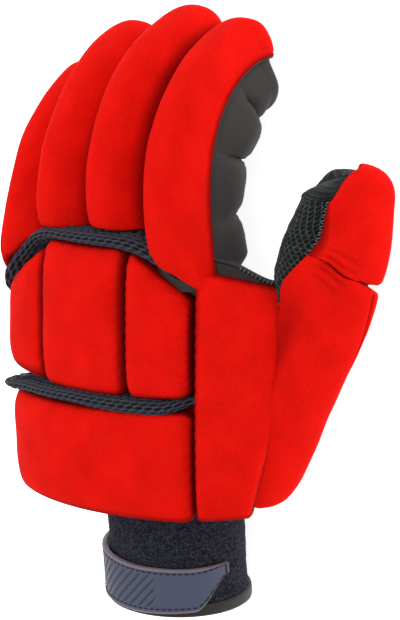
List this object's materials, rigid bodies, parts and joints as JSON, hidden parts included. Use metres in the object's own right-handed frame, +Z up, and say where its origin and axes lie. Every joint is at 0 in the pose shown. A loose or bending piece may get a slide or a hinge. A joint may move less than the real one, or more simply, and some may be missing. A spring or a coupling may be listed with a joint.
{
  "type": "field hockey glove",
  "caption": "Left-hand field hockey glove with crowned foam pads over the fingers, thumb, back and wrist, a leather palm, elastic mesh strips and a knitted cuff with a strap.",
  "frame": {"origin": "on the floor, under the middle of the glove", "axes": "+Z up, out of the back of the hand; +Y from the wrist to the fingertips; +X towards the thumb"},
  "size_m": [0.1984, 0.27, 0.081],
  "materials": {
    "red_knit": "fine bright red knit over foam",
    "charcoal_leather": "smooth synthetic leather, softly puckered",
    "black_mesh": "open honeycomb mesh",
    "dark_mesh": "puffed elastic mesh with woven holes",
    "cuff_knit": "looped towelling knit",
    "hem_tape": "smooth binding tape",
    "strap_rubber": "soft moulded tab with slanted ribs"
  },
  "bodies": {
    "root": {"back_panel": "red_knit", "palm": "charcoal_leather", "finger_stall_index": "charcoal_leather", "finger_stall_middle": "charcoal_leather", "finger_stall_ring": "charcoal_leather", "finger_stall_little": "charcoal_leather", "finger_pad_index": "red_knit", "finger_pad_middle": "red_knit", "finger_pad_ring": "red_knit", "finger_pad_little": "red_knit", "back_pad_outer": "red_knit", "back_pad_centre": "red_knit", "back_pad_index": "red_knit", "wrist_pad": "red_knit", "side_pad": "red_knit", "mesh_strip_upper": "dark_mesh", "mesh_strip_lower": "dark_mesh", "thumb_stall": "black_mesh", "thumb_base_pad": "red_knit", "thumb_tip_pad": "red_knit", "cuff": "cuff_knit", "cuff_binding": "hem_tape", "strap": "strap_rubber"}
  },
  "joints": []
}
